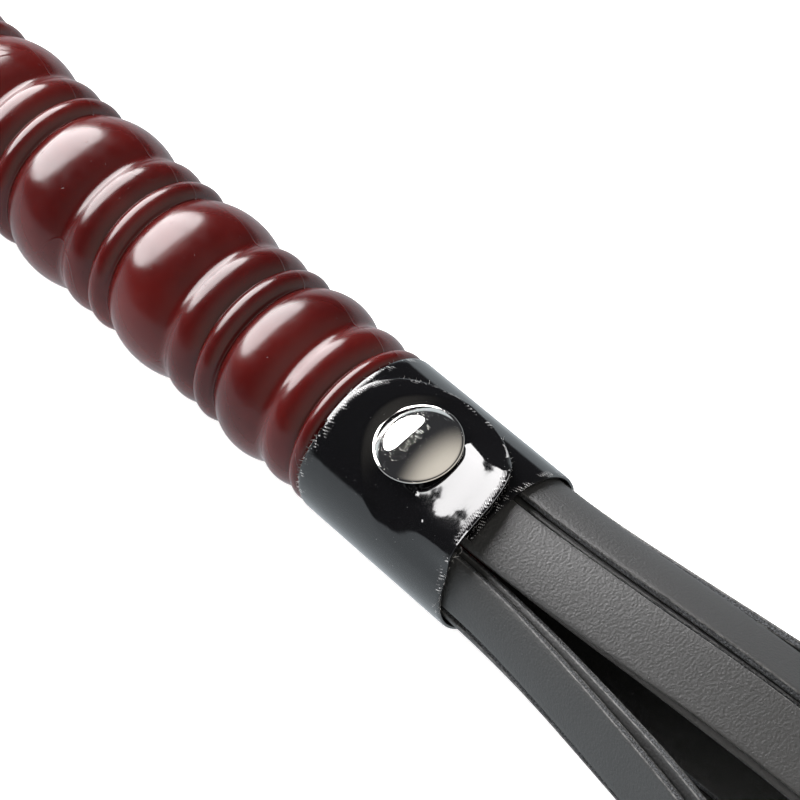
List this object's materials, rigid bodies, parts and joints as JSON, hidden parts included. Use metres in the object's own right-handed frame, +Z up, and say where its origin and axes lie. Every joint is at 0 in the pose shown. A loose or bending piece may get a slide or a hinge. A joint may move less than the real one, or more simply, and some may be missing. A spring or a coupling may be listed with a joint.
{
  "type": "many-tailed riding whip",
  "caption": "Short riding whip: glossy beaded handle, patent band with a domed rivet, and flat leather-look tails that spread from its mouth.",
  "frame": {"origin": "centre of the flat face at the handle's butt", "axes": "+X along the handle, from the butt towards the tips of the tails; +Z up as the whip lies on a table"},
  "size_m": [0.5923, 0.213, 0.0343],
  "materials": {
    "handle_plastic": "glossy moulded, dark maroon",
    "patent_band": "patent, mirror gloss, woven back",
    "bright_metal": "polished nickel",
    "nail_steel": "plain steel",
    "binding_thread": "waxed black thread",
    "fall_leather": "fine pebbled grain, semi-matt, knitted back"
  },
  "bodies": {
    "handle_and_collar": {"handle": "handle_plastic", "collar_band": "patent_band", "rivet_cap": "bright_metal", "rivet_nail": "nail_steel", "inner_binding": "binding_thread", "outer_binding": "binding_thread", "outer_fall_roots": "fall_leather", "inner_fall_roots": "fall_leather"},
    "outer_fall_1": {"outer_fall_1": "fall_leather"},
    "inner_fall_1": {"inner_fall_1": "fall_leather"},
    "outer_fall_2": {"outer_fall_2": "fall_leather"},
    "inner_fall_2": {"inner_fall_2": "fall_leather"},
    "outer_fall_3": {"outer_fall_3": "fall_leather"},
    "inner_fall_3": {"inner_fall_3": "fall_leather"},
    "outer_fall_4": {"outer_fall_4": "fall_leather"},
    "inner_fall_4": {"inner_fall_4": "fall_leather"},
    "outer_fall_5": {"outer_fall_5": "fall_leather"},
    "inner_fall_5": {"inner_fall_5": "fall_leather"},
    "outer_fall_6": {"outer_fall_6": "fall_leather"},
    "inner_fall_6": {"inner_fall_6": "fall_leather"},
    "outer_fall_7": {"outer_fall_7": "fall_leather"},
    "inner_fall_7": {"inner_fall_7": "fall_leather"}
  },
  "joints": [
    {"name": "outer_fall_1_swing", "type": "hinge", "parent": "handle_and_collar", "child": "outer_fall_1", "pos_m": [0.1953, -0.00438, 0.01272], "axis": [0, -0.9455, -0.3256], "range_deg": [0, 60]},
    {"name": "inner_fall_1_swing", "type": "hinge", "parent": "handle_and_collar", "child": "inner_fall_1", "pos_m": [0.1953, -0.00383, 0.01111], "axis": [0, -0.9455, -0.3256], "range_deg": [0, 45]},
    {"name": "outer_fall_2_swing", "type": "hinge", "parent": "handle_and_collar", "child": "outer_fall_2", "pos_m": [0.1953, -0.01268, 0.00451], "axis": [0, -0.335, -0.9422], "range_deg": [0, 60]},
    {"name": "inner_fall_2_swing", "type": "hinge", "parent": "handle_and_collar", "child": "inner_fall_2", "pos_m": [0.1953, -0.01107, 0.00394], "axis": [0, -0.335, -0.9422], "range_deg": [0, 45]},
    {"name": "outer_fall_3_swing", "type": "hinge", "parent": "handle_and_collar", "child": "outer_fall_3", "pos_m": [0.1953, -0.01143, -0.0071], "axis": [0, 0.5278, -0.8494], "range_deg": [0, 60]},
    {"name": "inner_fall_3_swing", "type": "hinge", "parent": "handle_and_collar", "child": "inner_fall_3", "pos_m": [0.1953, -0.00998, -0.0062], "axis": [0, 0.5278, -0.8494], "range_deg": [0, 45]},
    {"name": "outer_fall_4_swing", "type": "hinge", "parent": "handle_and_collar", "child": "outer_fall_4", "pos_m": [0.1953, -0.00157, -0.01336], "axis": [0, 0.9931, -0.1169], "range_deg": [0, 60]},
    {"name": "inner_fall_4_swing", "type": "hinge", "parent": "handle_and_collar", "child": "inner_fall_4", "pos_m": [0.1953, -0.00137, -0.01167], "axis": [0, 0.9931, -0.1169], "range_deg": [0, 45]},
    {"name": "outer_fall_5_swing", "type": "hinge", "parent": "handle_and_collar", "child": "outer_fall_5", "pos_m": [0.1953, 0.00947, -0.00956], "axis": [0, 0.7106, 0.7036], "range_deg": [0, 60]},
    {"name": "inner_fall_5_swing", "type": "hinge", "parent": "handle_and_collar", "child": "inner_fall_5", "pos_m": [0.1953, 0.00827, -0.00835], "axis": [0, 0.7106, 0.7036], "range_deg": [0, 45]},
    {"name": "outer_fall_6_swing", "type": "hinge", "parent": "handle_and_collar", "child": "outer_fall_6", "pos_m": [0.1953, 0.01338, 0.00144], "axis": [0, -0.107, 0.9943], "range_deg": [0, 60]},
    {"name": "inner_fall_6_swing", "type": "hinge", "parent": "handle_and_collar", "child": "inner_fall_6", "pos_m": [0.1953, 0.01169, 0.00126], "axis": [0, -0.107, 0.9943], "range_deg": [0, 45]},
    {"name": "outer_fall_7_swing", "type": "hinge", "parent": "handle_and_collar", "child": "outer_fall_7", "pos_m": [0.1953, 0.00721, 0.01136], "axis": [0, -0.8441, 0.5362], "range_deg": [0, 60]},
    {"name": "inner_fall_7_swing", "type": "hinge", "parent": "handle_and_collar", "child": "inner_fall_7", "pos_m": [0.1953, 0.0063, 0.00992], "axis": [0, -0.8441, 0.5362], "range_deg": [0, 45]}
  ],
  "couplings": [
    {"joint": "inner_fall_1_swing", "follows": "outer_fall_1_swing", "ratio": 0.75},
    {"joint": "inner_fall_2_swing", "follows": "outer_fall_2_swing", "ratio": 0.75},
    {"joint": "inner_fall_3_swing", "follows": "outer_fall_3_swing", "ratio": 0.75},
    {"joint": "inner_fall_4_swing", "follows": "outer_fall_4_swing", "ratio": 0.75},
    {"joint": "inner_fall_5_swing", "follows": "outer_fall_5_swing", "ratio": 0.75},
    {"joint": "inner_fall_6_swing", "follows": "outer_fall_6_swing", "ratio": 0.75},
    {"joint": "inner_fall_7_swing", "follows": "outer_fall_7_swing", "ratio": 0.75}
  ]
}
